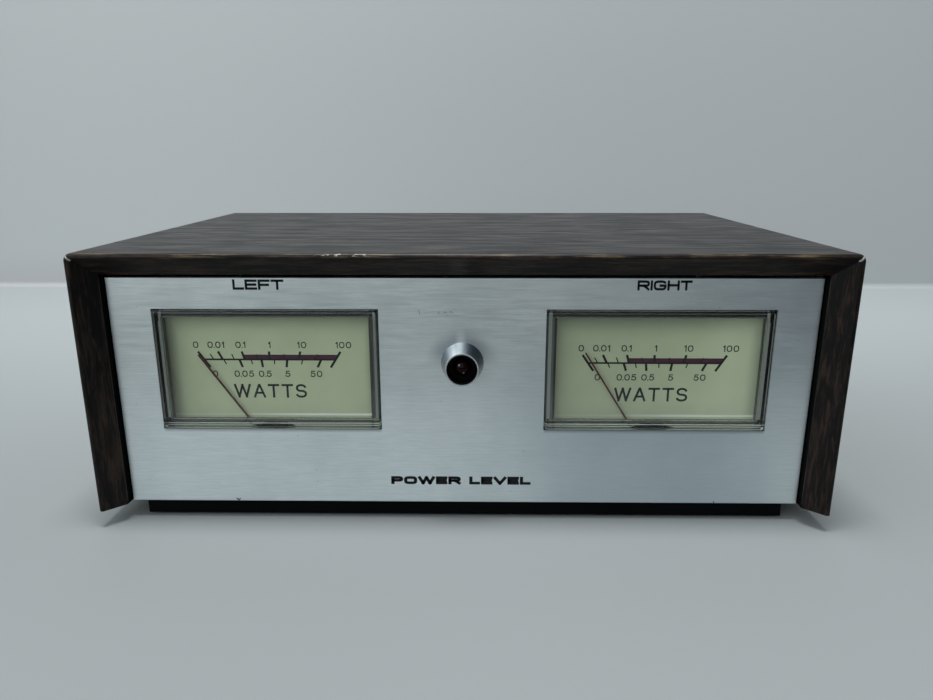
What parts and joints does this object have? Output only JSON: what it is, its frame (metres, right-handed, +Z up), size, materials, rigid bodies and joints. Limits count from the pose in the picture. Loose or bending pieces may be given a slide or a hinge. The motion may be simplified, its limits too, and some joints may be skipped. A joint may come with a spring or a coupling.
{
  "type": "stereo power meter",
  "caption": "Woodgrain tabletop power meter with moving-coil pointer meters, a pilot lamp and spring terminals at the back.",
  "frame": {"origin": "on the floor under the middle of the footprint", "axes": "+X to the right seen from the front, +Y from the front panel to the back, +Z up"},
  "size_m": [0.2, 0.1284, 0.076],
  "materials": {
    "woodgrain_vinyl": "dark walnut woodgrain vinyl, satin, worn at the edges",
    "chipboard": "raw pressed chipboard and softwood",
    "brushed_aluminium": "horizontally brushed, clear anodised",
    "turned_aluminium": "turned, fine rings",
    "black_steel": "satin black paint",
    "zinc_steel": "bright zinc plate",
    "clear_acrylic": "clear moulded acrylic, polished",
    "black_moulding": "black moulded phenolic",
    "dial_cream": "matt cream print on aluminium",
    "pointer_red": "thin sheet, dark red paint",
    "copper_wire": "enamelled copper winding",
    "spring_bronze": "phosphor bronze strip",
    "bridge_brass": "machined brass",
    "magnet": "cast alnico",
    "soft_iron": "soft iron, dull",
    "led_red": "dark red epoxy, unlit",
    "rubber_black": "matt black rubber",
    "board_brown": "phenolic paper board",
    "resistor_tan": "tan lacquer with colour bands",
    "diode_black": "black epoxy",
    "capacitor_blue": "aluminium can in blue sleeve",
    "chip_black": "black epoxy",
    "trimmer_blue": "blue moulding",
    "wiper_white": "white moulding",
    "lever_red": "red moulding",
    "lever_black": "black moulding",
    "wire_sleeve": "PVC sleeve"
  },
  "bodies": {
    "cabinet": {"vinyl_wrap": "woodgrain_vinyl", "cabinet_top": "chipboard", "cabinet_side_left": "chipboard", "cabinet_side_right": "chipboard", "glue_blocks": "chipboard", "front_panel": "brushed_aluminium", "chassis_tray": "black_steel", "rear_panel": "black_steel", "rear_panel_screws": "zinc_steel", "tray_screws": "zinc_steel", "feet": "rubber_black", "lamp_bezel": "turned_aluminium", "lamp_insert": "black_moulding", "led": "led_red", "panel_nuts": "zinc_steel", "movement_screws": "zinc_steel", "jewel_screws": "bridge_brass", "dial_screws": "zinc_steel", "meter_studs": "bridge_brass", "meter_clamps": "zinc_steel", "clamp_screws": "zinc_steel", "m3_nuts": "zinc_steel", "m3_screws": "zinc_steel", "circuit_board": "board_brown", "board_standoffs": "bridge_brass", "trimmer_bodies": "trimmer_blue", "resistors": "resistor_tan", "diodes": "diode_black", "capacitors": "capacitor_blue", "amplifier_chips": "chip_black", "terminal_block": "black_moulding", "wire_contacts": "spring_bronze", "dc_jack": "black_moulding", "wiring": "wire_sleeve", "left_meter_cover": "clear_acrylic", "left_meter_base": "black_moulding", "left_dial_plate": "dial_cream", "left_front_bridge": "bridge_brass", "left_rear_bridge": "black_moulding", "left_flux_ring": "soft_iron", "left_magnet_core": "magnet", "left_hairsprings": "spring_bronze", "right_meter_cover": "clear_acrylic", "right_meter_base": "black_moulding", "right_dial_plate": "dial_cream", "right_front_bridge": "bridge_brass", "right_rear_bridge": "black_moulding", "right_flux_ring": "soft_iron", "right_magnet_core": "magnet", "right_hairsprings": "spring_bronze"},
    "left_movement": {"left_pointer": "pointer_red", "left_moving_coil": "copper_wire"},
    "right_movement": {"right_pointer": "pointer_red", "right_moving_coil": "copper_wire"},
    "left_trimmer": {"left_trimmer_wiper": "wiper_white"},
    "right_trimmer": {"right_trimmer_wiper": "wiper_white"},
    "left_red_lever": {"left_red_lever": "lever_red"},
    "left_black_lever": {"left_black_lever": "lever_black"},
    "right_red_lever": {"right_red_lever": "lever_red"},
    "right_black_lever": {"right_black_lever": "lever_black"}
  },
  "joints": [
    {"name": "left_pointer_swing", "type": "hinge", "parent": "cabinet", "child": "left_movement", "pos_m": [-0.0522, -0.04175, 0.018], "axis": [0, 1, 0], "range_deg": [0, 70], "stiffness_Nm_per_rad": 0.00002},
    {"name": "right_pointer_swing", "type": "hinge", "parent": "cabinet", "child": "right_movement", "pos_m": [0.0522, -0.04175, 0.018], "axis": [0, 1, 0], "range_deg": [0, 67.8], "stiffness_Nm_per_rad": 0.00002},
    {"name": "left_red_press", "type": "hinge", "parent": "cabinet", "child": "left_red_lever", "pos_m": [-0.0515, 0.04575, 0.039], "axis": [-1, 0, 0], "range_deg": [0, 15], "stiffness_Nm_per_rad": 0.05, "springref_deg": -22.92},
    {"name": "left_black_press", "type": "hinge", "parent": "cabinet", "child": "left_black_lever", "pos_m": [-0.0385, 0.04575, 0.039], "axis": [-1, 0, 0], "range_deg": [0, 15], "stiffness_Nm_per_rad": 0.05, "springref_deg": -22.92},
    {"name": "right_red_press", "type": "hinge", "parent": "cabinet", "child": "right_red_lever", "pos_m": [-0.0255, 0.04575, 0.039], "axis": [-1, 0, 0], "range_deg": [0, 15], "stiffness_Nm_per_rad": 0.05, "springref_deg": -22.92},
    {"name": "right_black_press", "type": "hinge", "parent": "cabinet", "child": "right_black_lever", "pos_m": [-0.0125, 0.04575, 0.039], "axis": [-1, 0, 0], "range_deg": [0, 15], "stiffness_Nm_per_rad": 0.05, "springref_deg": -22.92},
    {"name": "left_trimmer_turn", "type": "hinge", "parent": "cabinet", "child": "left_trimmer", "pos_m": [-0.022, -0.00025, 0.0133], "axis": [0, 0, 1], "range_deg": [-135, 135]},
    {"name": "right_trimmer_turn", "type": "hinge", "parent": "cabinet", "child": "right_trimmer", "pos_m": [0.022, -0.00025, 0.0133], "axis": [0, 0, 1], "range_deg": [-135, 135]}
  ]
}
